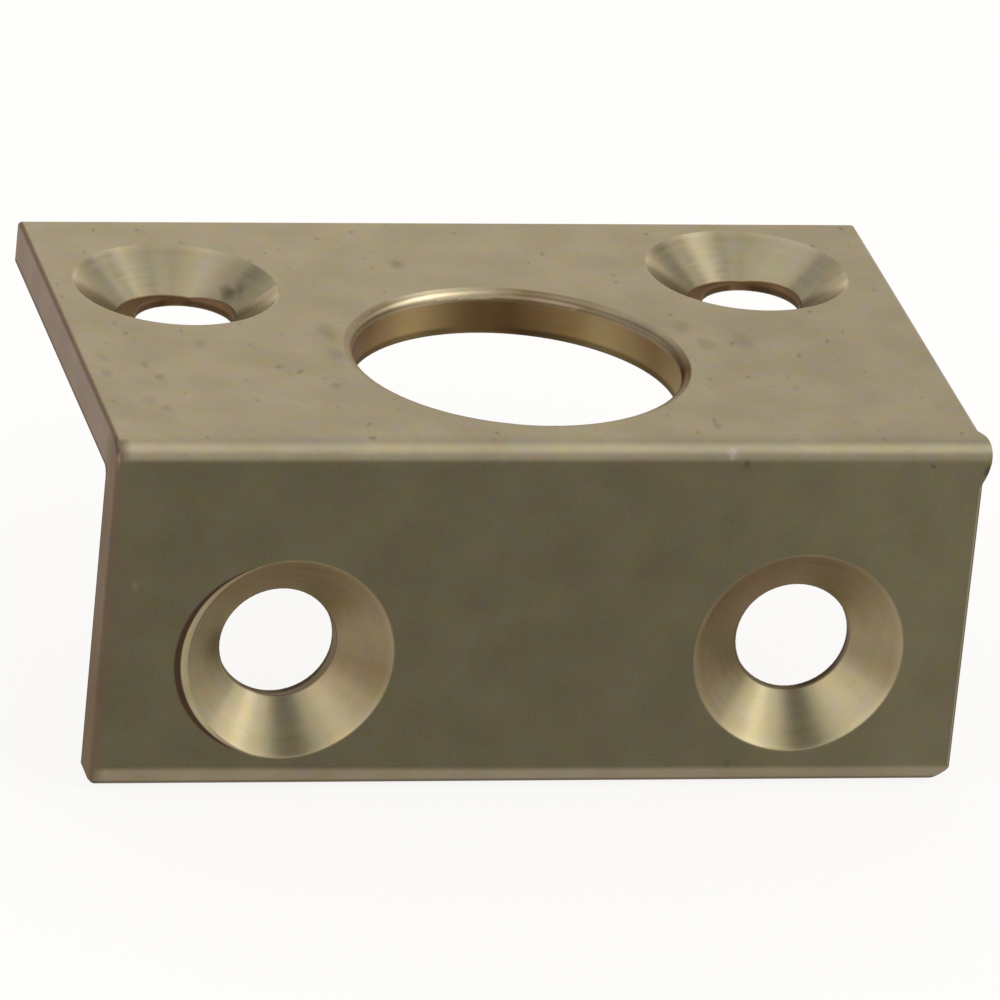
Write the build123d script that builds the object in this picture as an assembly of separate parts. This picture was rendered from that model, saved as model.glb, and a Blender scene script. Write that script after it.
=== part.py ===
from build123d import *
import math
import os

os.makedirs("parts", exist_ok=True)

# A door strike plate for a round bolt, folded from one piece of brass sheet, in millimetres.
# The Z axis is the axis of the bolt hole and Z = 0 is the underside of the top leg.
# X runs along the bend. The front leg hangs down on the -Y side, with its outer face towards -Y.

# Sheet and outline
plate_width = 38.0
top_leg_depth = 24.4
front_leg_height = 16.1
sheet_thickness = 2.0

# Bend, corners and edges
bend_outer_radius = 1.0
bend_inner_radius = 0.3
lower_edge_radius = 0.9
left_corner_cut = 0.45
right_corner_cut = 0.85
edge_break = 0.2

# Bolt hole, pierced from the outer face, which leaves a drawn-in lip
bolt_axis_from_left = 19.35
bolt_axis_from_front = 9.5
bolt_hole_radius = 7.15
bolt_lip_radius = 0.4

# Countersinks, all four cut with one tool, which has a flat tip
countersink_half_angle = 52.0
countersink_tip_radius = 2.45

# Screw holes in the top leg, marked out by eye and so not quite in line
top_hole_radius = 2.2
top_countersink_radius = 4.5
top_left_from_left = 5.75
top_left_from_back = 7.1
top_right_from_right = 6.2
top_right_from_back = 5.35

# Screw holes in the front leg
front_hole_radius = 2.5
front_countersink_radius = 4.6
front_left_from_left = 8.2
front_left_from_bottom = 6.1
front_right_from_right = 7.35
front_right_from_bottom = 6.3

# How far each hole lies off its countersink's axis: along X, then towards the back or upwards
top_left_drift = (0.55, 0.05)
top_right_drift = (0.4, 0.2)
front_left_drift = (-0.2, 0.15)
front_right_drift = (0.1, 0.05)

# The front left hole was started twice: a flatter first cut shows as a crescent on its left
first_cut_radius = 4.5
first_cut_half_angle = 70.0
first_cut_shift = 0.45

# Metal squeezed out past the right-hand end of the bend, highest near its outside
swelling_height = 0.29
swelling_radius = 1.25
swelling_from_front = 0.15
swelling_from_top = 0.5

# Places that follow from the sizes above
left = -bolt_axis_from_left
right = left + plate_width
front = -bolt_axis_from_front
back = front + top_leg_depth
top = sheet_thickness
bottom = top - front_leg_height
front_inside = front + sheet_thickness


def section_bar(x_from, x_to):
    """The L section of the folded sheet, drawn out along X between two places."""
    corners = [
        (front, top),
        (back, top),
        (back, 0),
        (front_inside, 0),
        (front_inside, bottom),
        (front, bottom),
    ]
    section = make_face(Polyline(corners, close=True))
    rounded = {(front, top): bend_outer_radius, (front_inside, 0): bend_inner_radius, (front, bottom): lower_edge_radius}
    for place, radius in rounded.items():
        section = fillet(section.vertices().sort_by_distance((*place, 0))[0], radius)
    plane = Plane(origin=(x_from, 0, 0), x_dir=(0, 1, 0), z_dir=(1, 0, 0))
    return extrude(plane * section, x_to - x_from)


def break_edges(bar):
    """Round every edge of the outline a little: both ends, the back edge and the inner lower edge."""
    at_ends = bar.edges().filter_by(lambda edge: edge.bounding_box().size.X < 0.001)
    along = bar.edges().filter_by(Axis.X)
    at_back = [edge for edge in along if abs(edge.center().Y - back) < 0.001]
    inner_lower = along.sort_by_distance((0, front_inside, bottom))[0]
    return fillet([*at_ends, *at_back, inner_lower], edge_break)


def corner_waste(end, cut):
    """The waste outside a lower corner of the front leg, which is cut off at 45 degrees."""
    side = cut * math.sqrt(2)
    return Pos(end, 0, bottom) * Rot(0, 45, 0) * Box(side, 3 * top_leg_depth, side)


def end_swelling():
    """A low cap on the right-hand end of the bend, kept within the outline of the section."""
    ball_radius = (swelling_radius**2 + swelling_height**2) / (2 * swelling_height)
    centre = Pos(right + swelling_height - ball_radius, front + swelling_from_front, top - swelling_from_top)
    return centre * Sphere(ball_radius) & section_bar(right - edge_break - swelling_height, right + swelling_height)


def cone_cut(rim_radius, tip_radius, half_angle):
    """A conical cutter whose rim lies on Z = 0 and which opens upwards past it."""
    slope = math.tan(math.radians(half_angle))
    depth = (rim_radius - tip_radius) / slope
    above = sheet_thickness / 2
    cone = Cone(tip_radius, rim_radius + above * slope, depth + above, align=(Align.CENTER, Align.CENTER, Align.MIN))
    return Pos(0, 0, -depth) * cone


def screw_cut(hole_radius, rim_radius, drift):
    """Countersink and through hole, with the hole run off the countersink's axis."""
    through = Pos(*drift, 0) * Cylinder(hole_radius, 3 * sheet_thickness)
    return cone_cut(rim_radius, countersink_tip_radius, countersink_half_angle) + through


def on_top(x, y):
    """A place on the outer face of the top leg, with Z out of the face."""
    return Pos(x, y, top)


def on_front(x, z):
    """A place on the outer face of the front leg, with Z out of the face and Y upwards."""
    return Plane(origin=(x, front, z), x_dir=(1, 0, 0), z_dir=(0, -1, 0)).location


def plate():
    """The whole strike plate."""
    body = break_edges(section_bar(left, right))
    body = body - corner_waste(left, left_corner_cut) - corner_waste(right, right_corner_cut) + end_swelling()

    body = body - Cylinder(bolt_hole_radius, 4 * sheet_thickness)
    lip = body.edges().filter_by(GeomType.CIRCLE).sort_by_distance((bolt_hole_radius, 0, top))[0]
    body = fillet(lip, bolt_lip_radius)

    top_left = on_top(left + top_left_from_left, back - top_left_from_back)
    top_right = on_top(right - top_right_from_right, back - top_right_from_back)
    body = body - top_left * screw_cut(top_hole_radius, top_countersink_radius, top_left_drift)
    body = body - top_right * screw_cut(top_hole_radius, top_countersink_radius, top_right_drift)

    front_left = on_front(left + front_left_from_left, bottom + front_left_from_bottom)
    front_right = on_front(right - front_right_from_right, bottom + front_right_from_bottom)
    body = body - front_left * screw_cut(front_hole_radius, front_countersink_radius, front_left_drift)
    body = body - front_right * screw_cut(front_hole_radius, front_countersink_radius, front_right_drift)
    first_cut = Pos(-first_cut_shift, 0, 0) * cone_cut(first_cut_radius, countersink_tip_radius, first_cut_half_angle)
    return body - front_left * first_cut


strike_plate = plate()
strike_plate.label = "strike_plate"
export_step(strike_plate, "parts/strike_plate.step")
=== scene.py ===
import math

import bpy
from mathutils import Matrix, Vector


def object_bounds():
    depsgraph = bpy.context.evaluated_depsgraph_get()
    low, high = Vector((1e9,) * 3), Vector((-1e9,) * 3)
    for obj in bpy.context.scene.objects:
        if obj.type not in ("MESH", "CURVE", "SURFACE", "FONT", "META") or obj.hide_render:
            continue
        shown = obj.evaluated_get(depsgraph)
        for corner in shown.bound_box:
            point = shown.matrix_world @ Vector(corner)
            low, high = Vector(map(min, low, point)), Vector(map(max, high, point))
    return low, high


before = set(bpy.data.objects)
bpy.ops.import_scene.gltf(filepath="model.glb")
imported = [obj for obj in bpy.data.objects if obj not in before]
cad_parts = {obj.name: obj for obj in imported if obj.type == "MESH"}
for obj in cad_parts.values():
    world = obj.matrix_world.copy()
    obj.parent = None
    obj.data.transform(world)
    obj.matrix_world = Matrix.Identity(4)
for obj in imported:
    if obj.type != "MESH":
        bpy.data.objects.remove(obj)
cad_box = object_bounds()

MM = 0.001

# The camera looks from above and from the left, from far away, as the photograph was taken
CAMERA_LENS = 422.41
CAMERA_SENSOR = 36.0
CAMERA_CLIP_START, CAMERA_CLIP_END = 0.01, 20.0
CAMERA_AIM = Vector((0.0128, 0.5789, -5.0737)) * MM
CAMERA_DISTANCE = 0.50979
CAMERA_AZIMUTH = math.radians(-14.430)
CAMERA_ELEVATION = math.radians(23.486)
CAMERA_ROLL = math.radians(5.783)

# Places on the plate as the solid has them, in millimetres in the row frame
SHEET = 2.0
LEFT, RIGHT = -19.35, 18.65
FRONT, BACK = -9.5, 14.9
BOTTOM = -14.1
BOLT_RADIUS = 7.15
BOLT_LIP = 0.4
TOP_DRILL_RADIUS = 2.2
FRONT_DRILL_RADIUS = 2.5
TIP_RADIUS = 2.45
TOP_CONE_RADIUS = 4.5
FRONT_CONE_RADIUS = 4.6
FIRST_CUT_RADIUS = 4.5

# Centres of countersinks and drilled holes: top left, top right, front left, front right.
# The first two numbers are x and y on the top leg, and x and z on the front leg.
CONE_CENTRES = ((-13.6, 7.8, 0.0), (12.45, 9.55, 0.0), (-11.15, -8.0, 0.0), (11.3, -7.8, 0.0))
DRILL_CENTRES = ((-13.05, 7.85, 0.0), (12.85, 9.75, 0.0), (-11.35, -7.85, 0.0), (11.4, -7.75, 0.0))
FIRST_CUT = (-11.6, -8.0, 0.0)

# The holes' masks. A mask is 0 at its first value and 1 at its second one, in millimetres.
FRONT_HOLES_BELOW = -0.5
IN_TOP_LEG = (0.03, 0.06)
IN_FRONT_LEG = (FRONT + SHEET - 0.03, FRONT + SHEET - 0.06)
UNDER_BEND = (-0.5, -0.6)
IN_CONE = (-0.10, 0.06)
RIM_INNER_SIDE = (0.30, 0.04)
RIM_OUTER_SIDE = (-0.12, 0.0)
PAST_RIM = (0.02, -0.06)
ON_TIP_LAND = (TIP_RADIUS + 0.06, TIP_RADIUS + 0.01)
ON_DRILL_LAND = (-0.06, -0.02)
IN_FIRST_CUT = (FIRST_CUT_RADIUS + 0.05, FIRST_CUT_RADIUS - 0.05)
NEAR_BOLT = (BOLT_RADIUS + BOLT_LIP + 0.05, BOLT_RADIUS + BOLT_LIP - 0.08)
ON_LIP = (SHEET - BOLT_LIP - 0.15, SHEET - BOLT_LIP + 0.1)
ON_WALL = (BOLT_RADIUS + 0.3, BOLT_RADIUS + 0.2)

# Masks of the faces and edges, by place
NEAR_TOP = (SHEET - 0.3, SHEET - 0.1)
NEAR_FRONT = (FRONT + 0.2, FRONT + 0.1)
ON_STRIP = (BOTTOM + 1.02, BOTTOM + 0.74)
ABOVE_UNDERSIDE = (0.0, 0.4)
# Where the painted highlight on the bend starts at the left
BEND_HIGHLIGHT_STARTS = (LEFT + 0.2, LEFT + 0.8)
# A brown stain at the bend's left end, deepened with painted shade over the bend's highlight, then
# painted shade along the left-hand edge
ON_LEFT_STAIN_AND_SHADE = (LEFT + 0.75, LEFT + 0.15)
ON_LEFT_EDGE = (LEFT + 0.26, LEFT + 0.14)
ON_RIGHT_EDGE = (RIGHT - 0.2, RIGHT - 0.05)
# Painted shade on the right-hand edge's lower part, painted highlight on its upper part
DARK_RIGHT_EDGE = (0.2, -0.4)
PALE_RIGHT_EDGE = (1.3, 1.8)
ON_INNER_EDGE = (0.38, 0.20)
ON_BACK_EDGE = (BACK - 0.16, BACK - 0.02)
LOW_END = (-4.0, -12.0)
HIGH_END_UPWARDS = (-1.2, 0.6)
HIGH_END_BACKWARDS = (-8.8, -7.0)
TOP_OF_LEFT_EDGE = (0.6, 1.4)

# Masks by the surface's slant, which is a part of its unit normal
FACES_UP = (0.85, 0.97)
FACES_OUT = (0.91, 0.992)
PAST_TOP = (0.40, 0.62)
SHORT_OF_FRONT = (0.93, 0.78)
FACES_DOWN = (-0.52, -0.68)
FACES_SIDEWAYS = (0.6, 0.9)
BRUSHED_BACKWARDS = (0.5, 0.6)
LEANS_SIDEWAYS = (0.1, 0.3)
LEANS_RIGHT = (0.2, 0.6)
STAIN_AND_SHADE_SLANT = (0.2, 0.5)

# Slow changes along the plate: the run's two ends in millimetres, then the value at each end
STRIP_RISE = (-15.0, -1.0, 0.11, 0.0)
# Painted light: the front face lighter towards the right, the top darker towards the right and
# lighter towards the back
FRONT_ALONG_X = (2.0, 18.0, 1.0, 1.24)
SHEET_ALONG_X = (-15.0, 15.0, 0.04, -0.05)
SHEET_ALONG_Y = (5.0, 14.0, 1.0, 1.07)

# How much light the brass gives back in each place. The faces, strip and ends are one brass: their
# different tones are partly painted light and shade.
SHEET_TONE = (0.350, 0.298, 0.194)
# Painted shade: the front face is the same brass as the top, darkened for the way light falls on it
FRONT_SHADED_TONE = (0.120, 0.104, 0.061)
STRIP_TONE = (0.256, 0.210, 0.137)
TOP_END_TONE = (0.292, 0.224, 0.176)
FRONT_END_TONE = (0.200, 0.145, 0.102)
LOW_END_TONE = (0.175, 0.125, 0.075)
# The lands' dark brown is the cut metal's colour with painted shade for the inside of the hole
TOP_LAND_TONE = (0.175, 0.105, 0.055)
FRONT_LAND_TONE = (0.170, 0.130, 0.080)
# Painted shade in the crescent of the first cut beside the front left countersink
CRESCENT_SHADE_TONE = (0.060, 0.035, 0.022)
SCUFF_TONE = (0.430, 0.375, 0.315)
# A brown stain at the left end, with painted shade over the highlights on the left-hand edge
STAIN_AND_SHADE_TONE = (0.135, 0.095, 0.062)
TOP_STAIN_AND_SHADE_TONE = (0.190, 0.125, 0.085)
# Painted highlight on the upper right-hand edge
RIGHT_EDGE_HIGHLIGHT_TONE = (0.285, 0.255, 0.240)
LEFT_STAIN_AND_SHADE_STRENGTH = 0.8

# How many times as light the surface is in each place: painted highlights on the rims and the bend,
# darker specks, painted shade on the low, inner and right-hand edges, and a darker back edge
# Painted highlight along the countersinks' rims
RIM_HIGHLIGHT = 1.12
BEND_HIGHLIGHT = 1.10
SPECK_SHADE = 0.70
LOW_AND_INNER_EDGE_SHADE = 0.50
BACK_EDGE_SHADE = 0.65
RIGHT_EDGE_SHADE = 0.55

# Painted highlights and painted shade round each countersink: light and dark bands that stand in
# for the lamps' reflections in the turned cones. A band has its angle in degrees from +X, then its
# tone, from 0 for the dark tone to 1 for the light one.
TOP_CONE_SHADE_AND_HIGHLIGHT = ((0.25, 0.21, 0.13), (0.54, 0.47, 0.31))
TOP_LEFT_REFLECTION_BANDS = [
    (-180, 0.8), (-160, 0.3), (-45, 0.3), (-20, 0.95), (-10, 0.1), (15, 0.5), (40, 0.1),
    (60, 0.35), (80, 0.1), (100, 0.3), (110, 0.1), (140, 0.5), (160, 0.3), (180, 0.8),
]
TOP_RIGHT_REFLECTION_BANDS = [
    (-180, 0.65), (-160, 0.3), (-45, 0.3), (-25, 0.95), (-10, 0.2), (20, 0.55), (80, 0.1),
    (95, 0.4), (130, 0.1), (145, 0.3), (160, 0.3), (180, 0.65),
]
FRONT_CONE_SHADE_AND_HIGHLIGHT = ((0.19, 0.13, 0.07), (0.35, 0.30, 0.18))
FRONT_LEFT_REFLECTION_BANDS = [
    (-180, 0.75), (-160, 0.7), (-140, 0.9), (-110, 0.75), (-100, 0.85), (-80, 0.75), (-70, 0.9),
    (-60, 0.6), (-40, 0.6), (-10, 0.2), (10, 0.4), (100, 0.2), (130, 0.25), (160, 0.8),
    (180, 0.75),
]
FRONT_RIGHT_REFLECTION_BANDS = [
    (-180, 0.45), (-155, 0.35), (-120, 0.8), (-90, 0.9), (-80, 0.7), (-70, 1.0), (-55, 0.75),
    (-40, 0.85), (-10, 0.45), (5, 0.5), (50, 0.2), (90, 0.2), (110, 0.0), (150, 0.1),
    (180, 0.45),
]

# The bolt hole's wall and lip have such bands round the bolt's axis: painted reflections and shade
# on the wall, painted highlights on the lip
WALL_SHADE_AND_HIGHLIGHT = ((0.16, 0.09, 0.04), (0.38, 0.28, 0.13))
WALL_REFLECTION_BANDS = [
    (-60, 0.0), (-30, 0.1), (-5, 0.9), (20, 0.3), (40, 0.75), (50, 0.85), (60, 0.4),
    (80, 0.05), (95, 0.35), (110, 0.75), (120, 0.65), (140, 0.15), (170, 0.0),
]
LIP_SHADE_AND_HIGHLIGHT = ((0.08, 0.04, 0.01), (0.73, 0.62, 0.41))
LIP_REFLECTION_BANDS = [
    (-60, 0.3), (-10, 0.0), (20, 0.4), (40, 0.4), (75, 0.2), (110, 1.0), (130, 0.3), (170, 0.3),
]

# Smudges, patches of painted shade and specks are narrower along X and longer along Y than a round
# dot
DIRT_AND_SHADE_SHAPE = (1.4, 0.75, 1.0)
# Smudges and painted shade: x, y, z, radius, how much darker; below zero is lighter. The three just
# left of the bolt hole, near x = -8 on the top, are painted shade over a shallow dip there.
SMUDGES_AND_SHADE = [
    (-3.3, 10.1, 2.0, 0.48, 0.26), (-7.9, 2.6, 2.0, 0.75, 0.20), (-8.0, 0.2, 2.0, 0.65, 0.18),
    (-8.6, -3.2, 2.0, 0.32, 0.22), (-16.2, -2.3, 2.0, 0.34, 0.24), (-16.6, -1.0, 2.0, 0.38, 0.19),
    (-16.5, -5.6, 2.0, 0.34, 0.17), (-17.1, -4.8, 2.0, 0.46, 0.10), (-13.8, 1.2, 2.0, 0.50, 0.13),
    (-10.4, -1.8, 2.0, 0.36, 0.10), (-18.3, -0.2, 2.0, 0.45, 0.12), (-18.4, -1.9, 2.0, 0.45, 0.18),
    (8.7, 1.3, 2.0, 0.58, 0.18), (10.4, 1.7, 2.0, 0.80, 0.17), (8.0, 3.2, 2.0, 0.65, 0.16),
    (7.1, -7.4, 2.0, 0.34, 0.24), (11.6, -3.4, 2.0, 0.28, 0.16), (-10.9, 9.4, 0.95, 0.42, 0.42),
    (-10.4, 9.1, 1.20, 0.32, 0.26), (-18.1, -9.5, -4.5, 0.28, -0.28), (8.1, -9.4, 1.05, 0.32, 0.30),
    (16.3, -9.4, 1.05, 0.20, 0.34), (8.6, -9.5, -13.0, 0.30, 0.15), (-14.0, -8.1, -7.8, 1.10, 0.34),
]
# Each one is at its full strength up to the core and ends at the reach, both in its radii
SMUDGE_CORE, SMUDGE_REACH = 0.2, 1.2
SMUDGE_WARP = 0.5

# Specks lie in cells, so many per millimetre. The sizes are a run too: two values of a cell's
# chance, then the size of its speck at each.
SPECK_DENSITY = 0.8
SPECK_WARP = 1.6
SPECK_SIZES = (0.45, 1.0, -0.06, 0.15)
SPECK_EDGE = (0.03, -0.10)

# The small bright nick on the bend, and the painted shadow under the swelling's lower end. The
# shade's run has two distances from its place, then how many times as light the surface is there.
NICK = (7.45, -9.33, 1.52)
NICK_RADIUS = 0.30
NICK_CORE = 0.3
NICK_RAGGEDNESS = 0.12
SWELLING_SHADE = (18.9, -9.5, 0.75)
SWELLING_SHADE_RUN = (0.1, 0.42, 0.45, 1.0)

# How close the marks lie, per millimetre, how strong they are and how high the relief is, in metres
MOTTLE_DENSITY = 1.3
MOTTLE_TINT = (0.20, 0.20, 0.60)
CLOUD_DENSITY = 0.40
CLOUD_STRENGTH = 0.05
NOISE_DETAIL = 2.0
NOISE_LOW, NOISE_HIGH = 0.3, 0.7
GRAIN_DENSITY = 8.0
GRAIN_HEIGHT = 0.0022 * MM
RING_DENSITY = 6.0
RING_DRIFT = 0.4
RING_HEIGHT = 0.0012 * MM
WALL_STREAK_DENSITY = 7.0
WALL_STREAK_DRIFT = 0.01
END_STREAKS = (1.4, 4.2, 1.3)
LAND_STREAKS = (3.0, 3.0, 0.6)
SHEET_MARKS, CUT_MARKS, MORE_MARKS_IN_FRONT = 0.18, 0.24, 0.16

# The satin finish
SHEET_ROUGHNESS, CONE_ROUGHNESS = 0.40, 0.29
MORE_ROUGHNESS_ON_CUTS = 0.12
MARK_ROUGHNESS = 0.02
BRUSHED = 0.6
GLANCING_TINT = (0.7, 0.65, 0.6)

ALONG_X, ALONG_Y, ALONG_Z = (1.0, 0.0, 0.0), (0.0, 1.0, 0.0), (0.0, 0.0, 1.0)
WHITE = (1.0, 1.0, 1.0)
MIDDLE_GREY = (0.5, 0.5, 0.5)

# The floor in metres. It glows white and keeps a faint shadow round the object: the glow's run
# has two distances from the origin, then the share of the glow at each.
FLOOR_RADIUS = 1.2
WALL_RADIUS = 0.4
FLOOR_GAP = 0.02 * MM
FLOOR_SIDES = 96
WALL_STEPS = 8
FLOOR_TONE = (0.84, 0.83, 0.82)
FLOOR_GLOW_TONE = (1.0, 0.990, 0.975)
FLOOR_GLOW_RUN = (0.027, 0.045, 0.90, 1.0)

# Soft lamps: azimuth (0 towards -Y, 90 towards +X) and elevation in degrees, distance, width and
# height in metres, and radiance
LAMPS = {
    "light_right": (63, 47, 0.9, 0.74, 0.54, 1.66),
    "light_low_right": (79, 29, 0.9, 0.94, 0.45, 1.57),
    "light_left": (-30, 22, 0.9, 0.60, 0.68, 1.66),
    "light_back": (167, 32, 1.0, 1.40, 1.12, 0.70),
    "light_top": (-101, 77, 0.9, 0.83, 1.04, 0.83),
}
WORLD_GREY = (0.325, 0.325, 0.325)


def direction(azimuth, elevation):
    """The unit vector towards an azimuth (0 towards -Y, 90 degrees towards +X) and an elevation."""
    level = math.cos(elevation)
    return Vector((math.sin(azimuth) * level, -math.cos(azimuth) * level, math.sin(elevation)))


def make_camera():
    back = direction(CAMERA_AZIMUTH, CAMERA_ELEVATION)
    level = Vector((math.cos(CAMERA_AZIMUTH), math.sin(CAMERA_AZIMUTH), 0.0))
    upright = back.cross(level)
    right = math.cos(CAMERA_ROLL) * level + math.sin(CAMERA_ROLL) * upright
    up = math.cos(CAMERA_ROLL) * upright - math.sin(CAMERA_ROLL) * level
    data = bpy.data.cameras.new("camera")
    data.lens = CAMERA_LENS
    data.sensor_width = CAMERA_SENSOR
    data.clip_start = CAMERA_CLIP_START
    data.clip_end = CAMERA_CLIP_END
    camera = bpy.data.objects.new("camera", data)
    bpy.context.scene.collection.objects.link(camera)
    turn = Matrix((right, up, back)).transposed().to_4x4()
    camera.matrix_world = Matrix.Translation(CAMERA_AIM + back * CAMERA_DISTANCE) @ turn
    bpy.context.scene.camera = camera


class Shader:
    """One material's nodes. A value is a number, a tuple or another node's output."""

    def __init__(self, name):
        self.material = bpy.data.materials.new(name)
        self.material.use_nodes = True
        self.tree = self.material.node_tree
        self.tree.nodes.clear()

    def put(self, socket, value):
        if isinstance(value, bpy.types.NodeSocket):
            self.tree.links.new(value, socket)
        elif isinstance(value, tuple) and len(value) == 3 and socket.type == "RGBA":
            socket.default_value = value + (1.0,)
        else:
            socket.default_value = value

    def node(self, kind, inputs=(), **settings):
        made = self.tree.nodes.new(kind)
        for name, value in settings.items():
            setattr(made, name, value)
        for key, value in dict(inputs).items():
            self.put(made.inputs[key], value)
        return made

    def math(self, operation, a, b):
        return self.node("ShaderNodeMath", {0: a, 1: b}, operation=operation).outputs[0]

    def absolute(self, value):
        return self.node("ShaderNodeMath", {0: value}, operation="ABSOLUTE").outputs[0]

    def vector_math(self, operation, a, b):
        return self.node("ShaderNodeVectorMath", {0: a, 1: b}, operation=operation).outputs[0]

    def length(self, vector):
        made = self.node("ShaderNodeVectorMath", {0: vector}, operation="LENGTH")
        return made.outputs["Value"]

    def distance(self, a, b):
        made = self.node("ShaderNodeVectorMath", {0: a, 1: b}, operation="DISTANCE")
        return made.outputs["Value"]

    def shade(self, colour, amount):
        """The colour or vector times the amount, which is a number or a grey output."""
        made = self.node("ShaderNodeVectorMath", {0: colour, "Scale": amount}, operation="SCALE")
        return made.outputs[0]

    def spread(self, value, low, high, start, end, smooth=False):
        """The value's run from low to high becomes one from start to end, and stops there."""
        made = self.node("ShaderNodeMapRange", {
            "Value": value, "From Min": low, "From Max": high, "To Min": start, "To Max": end,
        }, interpolation_type="SMOOTHSTEP" if smooth else "LINEAR")
        return made.outputs[0]

    def step(self, value, low, high):
        """0 at low, 1 at high, smooth between."""
        return self.spread(value, low, high, 0.0, 1.0, smooth=True)

    def across(self, mask, start, end):
        """The first number where the mask is 0, the second where it is 1."""
        return self.spread(mask, 0.0, 1.0, start, end)

    def lit(self, colour, mask, times):
        """The colour, that many times as light where the mask is 1."""
        return self.shade(colour, self.across(mask, 1.0, times))

    def both(self, *masks):
        total = masks[0]
        for mask in masks[1:]:
            total = self.math("MULTIPLY", total, mask)
        return total

    def either(self, *masks):
        total = masks[0]
        for mask in masks[1:]:
            total = self.math("MAXIMUM", total, mask)
        return total

    def less(self, mask, other):
        """The mask outside the other one."""
        return self.math("MULTIPLY", mask, self.math("SUBTRACT", 1.0, other))

    def vector(self, x, y, z):
        return self.node("ShaderNodeCombineXYZ", {0: x, 1: y, 2: z}).outputs[0]

    def split(self, vector):
        return self.node("ShaderNodeSeparateXYZ", {"Vector": vector}).outputs[:3]

    def mix(self, factor, a, b):
        """The first colour where the factor is 0, the second where it is 1."""
        made = self.node("ShaderNodeMix", {"Factor": factor, 6: a, 7: b}, data_type="RGBA")
        return made.outputs[2]

    def choose(self, factor, a, b):
        """The first vector where the factor is 0, the second where it is 1."""
        made = self.node("ShaderNodeMix", {"Factor": factor, 4: a, 5: b}, data_type="VECTOR")
        return made.outputs[1]

    def degrees(self, across, along):
        """The direction of a place from the origin, in degrees from the first axis."""
        turn = self.math("ARCTAN2", along, across)
        return self.spread(turn, -math.pi, math.pi, -180.0, 180.0)

    def noise(self, vector, scale, detail, output=0):
        inputs = {"Vector": vector, "Scale": scale, "Detail": detail}
        return self.node("ShaderNodeTexNoise", inputs).outputs[output]

    def swing(self, grey, low, high):
        """A noise's usual run becomes one from low to high."""
        return self.spread(grey, NOISE_LOW, NOISE_HIGH, low, high)

    def bands(self, angle, stops, tones):
        """Painted highlight and shade bands round a hole, from a dark to a light tone, first stop
        to last.
        """
        first, last = stops[0][0], stops[-1][0]
        made = self.node("ShaderNodeValToRGB", {0: self.spread(angle, first, last, 0.0, 1.0)})
        ramp = made.color_ramp
        while len(ramp.elements) < len(stops):
            ramp.elements.new(0.5)
        for element, (at, share) in zip(ramp.elements, stops):
            element.position = (at - first) / (last - first)
            tone = [dark + (light - dark) * share for dark, light in zip(*tones)]
            element.color = tone + [1.0]
        return made.outputs[0]


def read_surface(s):
    """The place on the plate in millimetres, and how far the surface faces each way."""
    spot = s.shade(s.node("ShaderNodeTexCoord").outputs["Object"], 1.0 / MM)
    x, y, z = s.split(spot)
    rightward, backward, upward = s.split(s.node("ShaderNodeNewGeometry").outputs["Normal"])
    return {
        "spot": spot, "x": x, "y": y, "z": z,
        "rightward": rightward,
        "sideways": s.absolute(rightward),
        "outward": s.math("MULTIPLY", backward, -1.0),
        "upward": upward,
    }


def pick(s, r, places):
    """The place that belongs to the nearest screw hole."""
    top_left, top_right, front_left, front_right = places
    on_top = s.choose(r["at_right"], top_left, top_right)
    return s.choose(r["on_front"], on_top, s.choose(r["at_right"], front_left, front_right))


def find_screw_hole(s, r):
    """Where the place lies in its leg, and how far from the nearest screw hole's axis and edges."""
    r["on_front"] = s.math("LESS_THAN", r["z"], FRONT_HOLES_BELOW)
    r["at_right"] = s.math("GREATER_THAN", r["x"], 0.0)
    on_top_leg, on_front_leg = s.vector(r["x"], r["y"], 0.0), s.vector(r["x"], r["z"], 0.0)
    r["in_leg"] = s.choose(r["on_front"], on_top_leg, on_front_leg)
    r["away"] = s.vector_math("SUBTRACT", r["in_leg"], pick(s, r, CONE_CENTRES))
    r["far"] = s.length(r["away"])
    rim = s.across(r["on_front"], TOP_CONE_RADIUS, FRONT_CONE_RADIUS)
    r["within_rim"] = s.math("SUBTRACT", rim, r["far"])
    drill = s.across(r["on_front"], TOP_DRILL_RADIUS, FRONT_DRILL_RADIUS)
    off_drill = s.length(s.vector_math("SUBTRACT", r["in_leg"], pick(s, r, DRILL_CENTRES)))
    r["within_drill"] = s.math("SUBTRACT", drill, off_drill)


def read_screw_hole(s, r, inside):
    """Masks of the nearest screw hole."""
    rim, drill = r["within_rim"], r["within_drill"]
    r["cones"] = s.both(s.step(rim, *IN_CONE), inside)
    r["rims"] = s.both(s.step(rim, *RIM_INNER_SIDE), s.step(rim, *RIM_OUTER_SIDE), inside)
    on_land = s.either(s.step(r["far"], *ON_TIP_LAND), s.step(drill, *ON_DRILL_LAND))
    r["lands"] = s.both(on_land, inside)
    from_first = s.length(s.vector_math("SUBTRACT", r["in_leg"], FIRST_CUT))
    in_first = s.step(from_first, *IN_FIRST_CUT)
    r["crescent"] = s.both(in_first, r["on_front"], inside, s.step(rim, *PAST_RIM))


def read_bolt_hole(s, r, in_top):
    """Masks of the bolt hole's wall and lip, with the direction from its axis."""
    from_bolt = s.length(s.vector(r["x"], r["y"], 0.0))
    r["bolt_hole"] = s.both(s.step(from_bolt, *NEAR_BOLT), in_top)
    r["lip"] = s.both(r["bolt_hole"], s.step(r["z"], *ON_LIP))
    r["wall"] = s.less(s.both(r["bolt_hole"], s.step(from_bolt, *ON_WALL)), r["lip"])
    r["angle"] = s.degrees(r["x"], r["y"])


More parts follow.
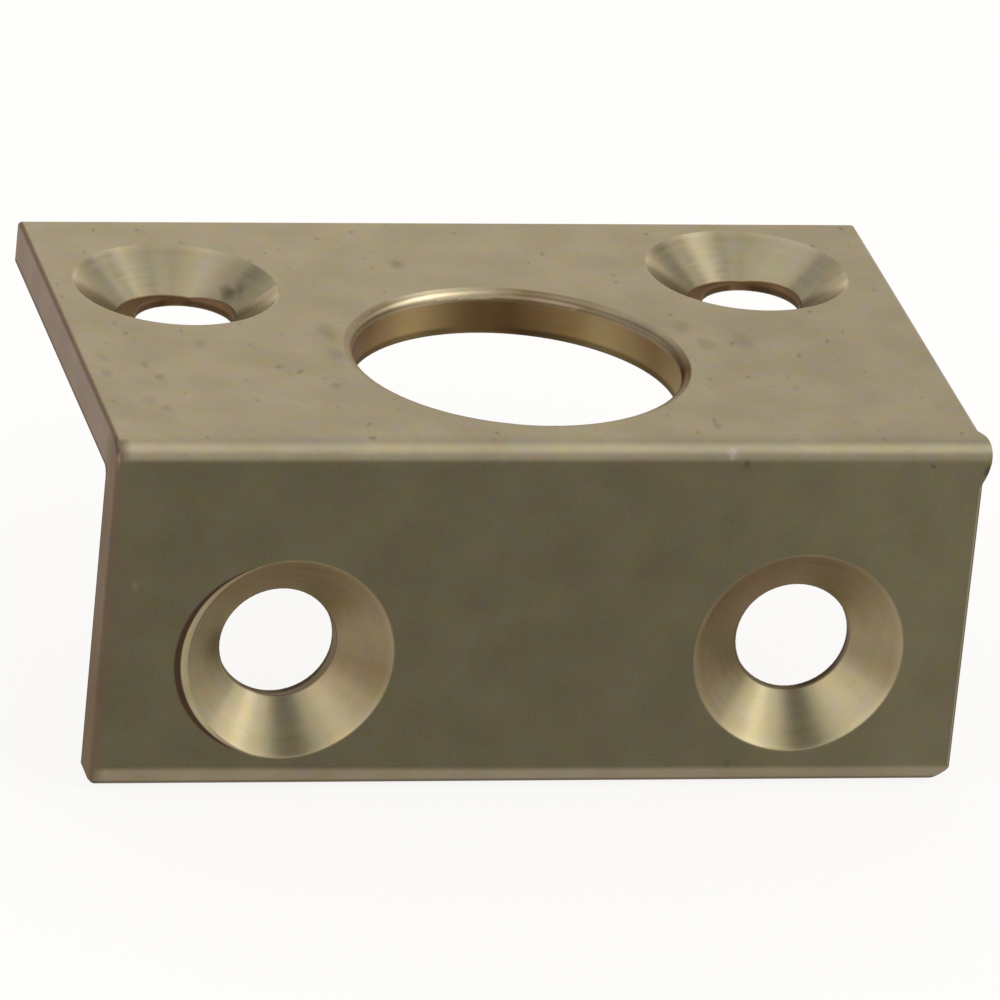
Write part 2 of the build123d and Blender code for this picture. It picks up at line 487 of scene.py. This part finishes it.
def read_holes(s, r):
    in_top = s.step(r["z"], *IN_TOP_LEG)
    in_front = s.both(s.step(r["y"], *IN_FRONT_LEG), s.step(r["z"], *UNDER_BEND))
    find_screw_hole(s, r)
    read_screw_hole(s, r, s.either(in_top, in_front))
    read_bolt_hole(s, r, in_top)
    r["in_hole"] = s.either(r["cones"], r["wall"], r["lands"])


def read_faces(s, r):
    """Masks of the faces, of the strip over the lower edge and of the painted highlight on the
    bend.
    """
    r["top_face"] = s.both(s.step(r["upward"], *FACES_UP), s.step(r["z"], *NEAR_TOP))
    r["front_face"] = s.both(s.step(r["outward"], *FACES_OUT), s.step(r["y"], *NEAR_FRONT))
    over_strip = s.math("SUBTRACT", r["z"], s.spread(r["x"], *STRIP_RISE))
    r["strip"] = s.step(over_strip, *ON_STRIP)
    r["ends"] = s.step(r["sideways"], *FACES_SIDEWAYS)
    # The painted highlight along the bend
    slant = s.both(s.step(r["outward"], *PAST_TOP), s.step(r["outward"], *SHORT_OF_FRONT))
    on_bend = s.both(slant, s.step(r["z"], *ABOVE_UNDERSIDE))
    r["worn_bend"] = s.both(s.less(on_bend, r["bolt_hole"]), s.step(r["x"], *BEND_HIGHLIGHT_STARTS))


def read_edges(s, r):
    """Masks of the edges: stain and painted shade at the left, painted highlight and shade at the
    right, painted shade low and inside, and a darker back edge.
    """
    r["left_stain"] = s.both(s.step(r["x"], *ON_LEFT_STAIN_AND_SHADE), s.step(r["outward"], *STAIN_AND_SHADE_SLANT))
    r["left_edge"] = s.less(s.step(r["x"], *ON_LEFT_EDGE), r["ends"])
    r["right_edge"] = s.both(s.step(r["x"], *ON_RIGHT_EDGE), s.step(r["rightward"], *LEANS_RIGHT))
    # Painted shade in the inside corner of the bend, near the ends
    from_inside = s.math("MAXIMUM", r["z"], s.math("SUBTRACT", FRONT + SHEET, r["y"]))
    near_inside = s.step(from_inside, *ON_INNER_EDGE)
    r["inner_edge"] = s.both(near_inside, s.step(r["sideways"], *LEANS_SIDEWAYS))
    r["back_edge"] = s.step(r["y"], *ON_BACK_EDGE)
    # Painted shade where the lower edge's rounding turns down
    r["low_edge"] = s.both(r["strip"], s.step(r["upward"], *FACES_DOWN))


def read_marks(s, r):
    """Grain and tool marks in one noise: dots, or rings in the cones, or streaks on cut faces."""
    dx, dy, _ = s.split(r["away"])
    r["turn"] = s.degrees(dx, dy)
    drift = [s.math("MULTIPLY", part, RING_DRIFT) for part in (dx, dy)]
    rings = s.vector(s.math("MULTIPLY", r["far"], RING_DENSITY), *drift)
    round_bolt = s.math("MULTIPLY", r["angle"], WALL_STREAK_DRIFT)
    on_wall = s.vector(0.0, round_bolt, s.math("MULTIPLY", r["z"], WALL_STREAK_DENSITY))
    on_sheet = s.shade(r["spot"], GRAIN_DENSITY)
    at = s.choose(r["ends"], on_sheet, s.vector_math("MULTIPLY", r["spot"], END_STREAKS))
    at = s.choose(r["wall"], at, on_wall)
    at = s.choose(r["cones"], at, rings)
    at = s.choose(r["lands"], at, s.vector_math("MULTIPLY", r["spot"], LAND_STREAKS))
    r["marks"] = s.noise(at, 1.0, NOISE_DETAIL)


def sheet_tone(s, r):
    """Faces, ends and strip with painted shade and light, and a stain with painted shade at the
    left.
    """
    # Painted shade on the front face, made lighter towards the right as painted light
    front = s.shade(FRONT_SHADED_TONE, s.spread(r["x"], *FRONT_ALONG_X, smooth=True))
    # Painted light on the top: darker towards the right and lighter towards the back
    along = s.math("ADD", s.spread(r["x"], *SHEET_ALONG_X), s.spread(r["y"], *SHEET_ALONG_Y))
    tone = s.mix(r["front_face"], s.shade(SHEET_TONE, along), front)
    tone = s.mix(r["strip"], tone, STRIP_TONE)
    # A stain at the bend's left end, deepened with painted shade
    tone = s.mix(s.math("MULTIPLY", r["left_stain"], LEFT_STAIN_AND_SHADE_STRENGTH), tone, STAIN_AND_SHADE_TONE)
    end = s.mix(s.step(r["z"], *LOW_END), FRONT_END_TONE, LOW_END_TONE)
    high = s.both(s.step(r["z"], *HIGH_END_UPWARDS), s.step(r["y"], *HIGH_END_BACKWARDS))
    tone = s.mix(r["ends"], tone, s.mix(high, end, TOP_END_TONE))
    # Painted shade along the left-hand edge, over the edge's highlight
    stain = s.mix(s.step(r["z"], *TOP_OF_LEFT_EDGE), STAIN_AND_SHADE_TONE, TOP_STAIN_AND_SHADE_TONE)
    return s.mix(r["left_edge"], tone, stain)


def cone_bands(s, r, left, right, tones):
    """The painted highlight and shade bands of the nearest countersink, from the left and right one
    in a leg.
    """
    return s.mix(r["at_right"], *(s.bands(r["turn"], stops, tones) for stops in (left, right)))


def cone_tone(s, r):
    """The nearest countersink's colour: painted highlight and shade bands, and a painted highlight
    on its rim.
    """
    on_top = cone_bands(s, r, TOP_LEFT_REFLECTION_BANDS, TOP_RIGHT_REFLECTION_BANDS, TOP_CONE_SHADE_AND_HIGHLIGHT)
    on_front = cone_bands(s, r, FRONT_LEFT_REFLECTION_BANDS, FRONT_RIGHT_REFLECTION_BANDS, FRONT_CONE_SHADE_AND_HIGHLIGHT)
    # Painted highlight along the rim
    return s.lit(s.mix(r["on_front"], on_top, on_front), r["rims"], RIM_HIGHLIGHT)


def hole_tone(s, r, tone):
    """The holes' tones: painted reflection bands, and painted shade in the crescent and the lands.
    """
    # Painted reflections and shade on the bolt hole's wall, painted highlights on its lip
    tone = s.mix(r["wall"], tone, s.bands(r["angle"], WALL_REFLECTION_BANDS, WALL_SHADE_AND_HIGHLIGHT))
    tone = s.mix(r["lip"], tone, s.bands(r["angle"], LIP_REFLECTION_BANDS, LIP_SHADE_AND_HIGHLIGHT))
    tone = s.mix(r["cones"], tone, cone_tone(s, r))
    # Painted shade in the first cut's crescent
    tone = s.mix(r["crescent"], tone, CRESCENT_SHADE_TONE)
    # The lands: brown metal with painted shade
    return s.mix(r["lands"], tone, s.mix(r["on_front"], TOP_LAND_TONE, FRONT_LAND_TONE))


def smudge_and_shade_map(s, spot):
    """Light left by the smudges and the painted shade: 1 where there is none."""
    spot = s.vector_math("MULTIPLY", spot, DIRT_AND_SHADE_SHAPE)
    total = 1.0
    for *place, radius, strength in SMUDGES_AND_SHADE:
        centre = tuple(value * share for value, share in zip(place, DIRT_AND_SHADE_SHAPE))
        run = (radius * SMUDGE_CORE, radius * SMUDGE_REACH, 1.0 - strength, 1.0)
        left = s.spread(s.distance(spot, centre), *run, smooth=True)
        total = s.math("MULTIPLY", left, total)
    return total


def speck_mask(s, spot):
    """Small uneven dots of many sizes: 1 in a dot."""
    inputs = {"Vector": s.vector_math("MULTIPLY", spot, DIRT_AND_SHADE_SHAPE), "Scale": SPECK_DENSITY}
    cell = s.node("ShaderNodeTexVoronoi", inputs, voronoi_dimensions="2D").outputs
    size = s.spread(s.split(cell["Color"])[0], *SPECK_SIZES)
    return s.step(s.math("SUBTRACT", cell["Distance"], size), *SPECK_EDGE)


def add_dirt_and_shade(s, r, tone):
    """Smudges and painted shade, specks on the top, then the mottling of the brass."""
    mottle = s.noise(r["spot"], MOTTLE_DENSITY, NOISE_DETAIL, "Color")
    uneven = s.vector_math("SUBTRACT", mottle, MIDDLE_GREY)
    warp = s.shade(uneven, SMUDGE_WARP)
    tone = s.shade(tone, smudge_and_shade_map(s, s.vector_math("ADD", r["spot"], warp)))
    specks = speck_mask(s, s.vector_math("ADD", r["spot"], s.shade(warp, SPECK_WARP)))
    tone = s.lit(tone, s.both(specks, r["top_face"]), SPECK_SHADE)
    tint = s.vector_math("ADD", s.vector_math("MULTIPLY", uneven, MOTTLE_TINT), WHITE)
    return s.vector_math("MULTIPLY", tone, tint)


def add_grain(s, r, tone):
    """The grain and the tool marks, with slow lighter and darker clouds."""
    strength = s.across(s.either(r["ends"], r["in_hole"]), SHEET_MARKS, CUT_MARKS)
    more = s.math("MULTIPLY", r["front_face"], MORE_MARKS_IN_FRONT)
    from_middle = s.math("SUBTRACT", r["marks"], 0.5)
    grain = s.math("MULTIPLY", from_middle, s.math("ADD", strength, more))
    clouds = s.noise(r["spot"], CLOUD_DENSITY, 0.0)
    clouds = s.swing(clouds, 1.0 - CLOUD_STRENGTH, 1.0 + CLOUD_STRENGTH)
    return s.shade(tone, s.math("ADD", grain, clouds))


def add_painted_light_and_nick(s, r, tone):
    """Painted highlight on the bend, painted shade and highlight on the edges, a darker back edge,
    painted shadow under the swelling's lower end, and the nick.
    """
    # Painted highlight on the bend
    tone = s.lit(tone, r["worn_bend"], BEND_HIGHLIGHT)
    # Painted shade along the lower and inner edges
    tone = s.lit(tone, s.either(r["low_edge"], r["inner_edge"]), LOW_AND_INNER_EDGE_SHADE)
    tone = s.lit(tone, r["back_edge"], BACK_EDGE_SHADE)
    # Painted shade on the lower right-hand edge
    low_right = s.both(r["right_edge"], s.step(r["z"], *DARK_RIGHT_EDGE))
    tone = s.lit(tone, low_right, RIGHT_EDGE_SHADE)
    # Painted highlight on the upper right-hand edge
    high_right = s.both(r["right_edge"], s.step(r["z"], *PALE_RIGHT_EDGE))
    tone = s.mix(high_right, tone, RIGHT_EDGE_HIGHLIGHT_TONE)
    # Painted shadow under the swelling's lower end
    from_swelling = s.length(s.vector_math("SUBTRACT", r["spot"], SWELLING_SHADE))
    tone = s.shade(tone, s.spread(from_swelling, *SWELLING_SHADE_RUN, smooth=True))
    from_nick = s.length(s.vector_math("SUBTRACT", r["spot"], NICK))
    ragged = s.math("ADD", from_nick, s.swing(r["marks"], -NICK_RAGGEDNESS, NICK_RAGGEDNESS))
    return s.mix(s.step(ragged, NICK_RADIUS, NICK_RADIUS * NICK_CORE), tone, SCUFF_TONE)


def brass_tone(s, r):
    """The colour of the brass in every place, with painted light and shade in it."""
    tone = hole_tone(s, r, sheet_tone(s, r))
    return add_painted_light_and_nick(s, r, add_grain(s, r, add_dirt_and_shade(s, r, tone)))


def brass_roughness(s, r):
    rough = s.across(r["cones"], SHEET_ROUGHNESS, CONE_ROUGHNESS)
    on_cuts = s.across(s.either(r["ends"], r["lands"]), 0.0, MORE_ROUGHNESS_ON_CUTS)
    in_marks = s.swing(r["marks"], -MARK_ROUGHNESS, MARK_ROUGHNESS)
    return s.math("ADD", s.math("ADD", rough, on_cuts), in_marks)


def brass_height(s, r):
    """Relief in metres: grain on the sheet, rings in the countersinks."""
    return s.math("MULTIPLY", r["marks"], s.across(r["in_hole"], GRAIN_HEIGHT, RING_HEIGHT))


def brush_direction(s, r):
    """The way a highlight spreads: across the rings in a hole, along the bend elsewhere."""
    flat = s.mix(s.step(r["sideways"], *BRUSHED_BACKWARDS), ALONG_X, ALONG_Y)
    towards_z = s.either(r["wall"], s.less(r["cones"], r["on_front"]))
    return s.mix(r["in_hole"], flat, s.mix(towards_z, ALONG_Y, ALONG_Z))


def make_brass():
    s = Shader("satin_brass")
    r = read_surface(s)
    for read in (read_holes, read_faces, read_edges, read_marks):
        read(s, r)
    height = {"Height": brass_height(s, r), "Distance": 1.0, "Strength": 1.0}
    skin = s.node("ShaderNodeBsdfPrincipled", {
        "Base Color": brass_tone(s, r),
        "Metallic": 1.0,
        "Roughness": brass_roughness(s, r),
        "Anisotropic": BRUSHED,
        "Specular Tint": GLANCING_TINT,
        "Tangent": brush_direction(s, r),
        "Normal": s.node("ShaderNodeBump", height).outputs[0],
    })
    s.node("ShaderNodeOutputMaterial", {"Surface": skin.outputs[0]})
    return s.material


def make_floor_material():
    """Matt and pale, and white to the camera and in reflections, apart from the shadow."""
    s = Shader("pale_floor")
    path = s.node("ShaderNodeLightPath").outputs
    seen = s.either(path["Is Camera Ray"], path["Is Glossy Ray"], path["Is Transmission Ray"])
    matt = s.node("ShaderNodeBsdfDiffuse", {"Color": FLOOR_TONE})
    glow = s.node("ShaderNodeEmission", {"Color": FLOOR_GLOW_TONE, "Strength": 1.0})
    away = s.length(s.node("ShaderNodeNewGeometry").outputs["Position"])
    share = s.both(seen, s.spread(away, *FLOOR_GLOW_RUN))
    blend = s.node("ShaderNodeMixShader", {0: share, 1: matt.outputs[0], 2: glow.outputs[0]})
    s.node("ShaderNodeOutputMaterial", {"Surface": blend.outputs[0]})
    return s.material


def floor_rings():
    """Radius and height of each ring of the floor's mesh, which curves up into a low wall."""
    level = cad_box[0].z - FLOOR_GAP
    rings = [(FLOOR_RADIUS, level)]
    for i in range(1, WALL_STEPS + 1):
        a = math.radians(90.0) * i / WALL_STEPS
        radius = FLOOR_RADIUS + WALL_RADIUS * math.sin(a)
        rings.append((radius, level + WALL_RADIUS * (1 - math.cos(a))))
    return rings


def floor_mesh():
    """A round floor with a low wall all round."""
    rings = floor_rings()
    corners = [(0.0, 0.0, rings[0][1])]
    for radius, height in rings:
        for k in range(FLOOR_SIDES):
            t = 2 * math.pi * k / FLOOR_SIDES
            corners.append((radius * math.cos(t), radius * math.sin(t), height))
    after = [(k + 1) % FLOOR_SIDES for k in range(FLOOR_SIDES)]
    faces = [(0, 1 + k, 1 + after[k]) for k in range(FLOOR_SIDES)]
    for j in range(WALL_STEPS):
        a, b = 1 + j * FLOOR_SIDES, 1 + (j + 1) * FLOOR_SIDES
        faces += [(a + k, b + k, b + after[k], a + after[k]) for k in range(FLOOR_SIDES)]
    mesh = bpy.data.meshes.new("floor")
    mesh.from_pydata(corners, [], faces)
    mesh.shade_smooth()
    return mesh


def make_floor():
    mesh = floor_mesh()
    mesh.materials.append(make_floor_material())
    floor = bpy.data.objects.new("floor", mesh)
    bpy.context.scene.collection.objects.link(floor)


def make_lamp(name, azimuth, elevation, distance, width, height, radiance):
    away = direction(math.radians(azimuth), math.radians(elevation))
    light = bpy.data.lights.new(name, "AREA")
    light.shape = "RECTANGLE"
    light.size = width
    light.size_y = height
    light.energy = radiance * width * height * math.pi
    lamp = bpy.data.objects.new(name, light)
    lamp.location = away * distance
    lamp.rotation_euler = away.to_track_quat("Z", "Y").to_euler()
    lamp.visible_camera = False
    bpy.context.scene.collection.objects.link(lamp)


def make_light():
    for name, settings in LAMPS.items():
        make_lamp(name, *settings)
    world = bpy.data.worlds.new("world")
    world.use_nodes = True
    sky = world.node_tree.nodes["Background"]
    sky.inputs["Color"].default_value = WORLD_GREY + (1.0,)
    sky.inputs["Strength"].default_value = 1.0
    bpy.context.scene.world = world


make_camera()
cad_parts["strike_plate"].material_slots[0].material = make_brass()
make_floor()
make_light()
bpy.context.scene.view_settings.view_transform = "Standard"
